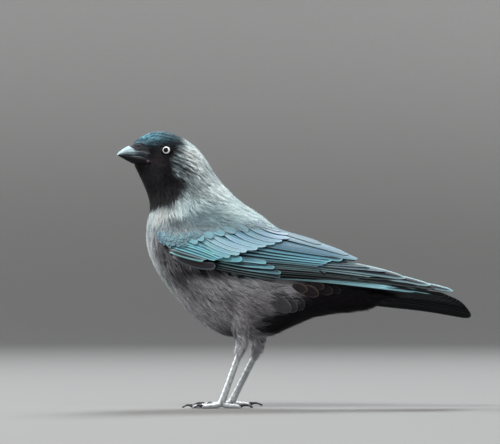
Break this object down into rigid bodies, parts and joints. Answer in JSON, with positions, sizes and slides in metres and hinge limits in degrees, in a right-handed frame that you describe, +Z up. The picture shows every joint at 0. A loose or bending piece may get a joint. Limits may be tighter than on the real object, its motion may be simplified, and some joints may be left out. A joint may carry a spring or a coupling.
{
  "type": "jackdaw",
  "caption": "Life-size standing jackdaw with folded wings, head turned to its left, resting on both feet.",
  "frame": {"origin": "centre of the bird's length and width, on the ground it stands on", "axes": "+Z up, the bill towards -X, the tail towards +X, the bird's left side towards -Y"},
  "size_m": [0.29, 0.0868, 0.2262],
  "materials": {
    "plumage_black": "soft black feathers with a faint blue gloss",
    "plumage_silver": "silky silver-grey feathers",
    "plumage_grey": "soft dark grey feathers with fine paler streaks",
    "wing_coverts": "firm blue-grey feathers with a teal gloss and dark edges",
    "flight_feathers": "firm glossy blue-black feathers",
    "horn": "satin dark horn",
    "leg_scales": "scaled dark grey skin",
    "eye": "wet pearl-white iris round a black pupil"
  },
  "bodies": {
    "root": {"head": "plumage_black", "neck": "plumage_silver", "trunk": "plumage_grey", "rump": "plumage_black", "tail": "flight_feathers", "bill_upper": "horn", "bill_lower": "horn", "eye_left": "eye", "eye_right": "eye", "wing_left_coverts": "wing_coverts", "wing_left_secondaries": "flight_feathers", "wing_left_primaries": "flight_feathers", "wing_right_coverts": "wing_coverts", "wing_right_secondaries": "flight_feathers", "wing_right_primaries": "flight_feathers", "thigh_left": "plumage_grey", "thigh_right": "plumage_grey", "tarsus_left": "leg_scales", "tarsus_right": "leg_scales", "toe_left_middle": "leg_scales", "toe_left_inner": "leg_scales", "toe_left_outer": "leg_scales", "toe_left_hind": "leg_scales", "toe_right_middle": "leg_scales", "toe_right_inner": "leg_scales", "toe_right_outer": "leg_scales", "toe_right_hind": "leg_scales", "claw_left_middle": "horn", "claw_left_inner": "horn", "claw_left_outer": "horn", "claw_left_hind": "horn", "claw_right_middle": "horn", "claw_right_inner": "horn", "claw_right_outer": "horn", "claw_right_hind": "horn"}
  },
  "joints": []
}
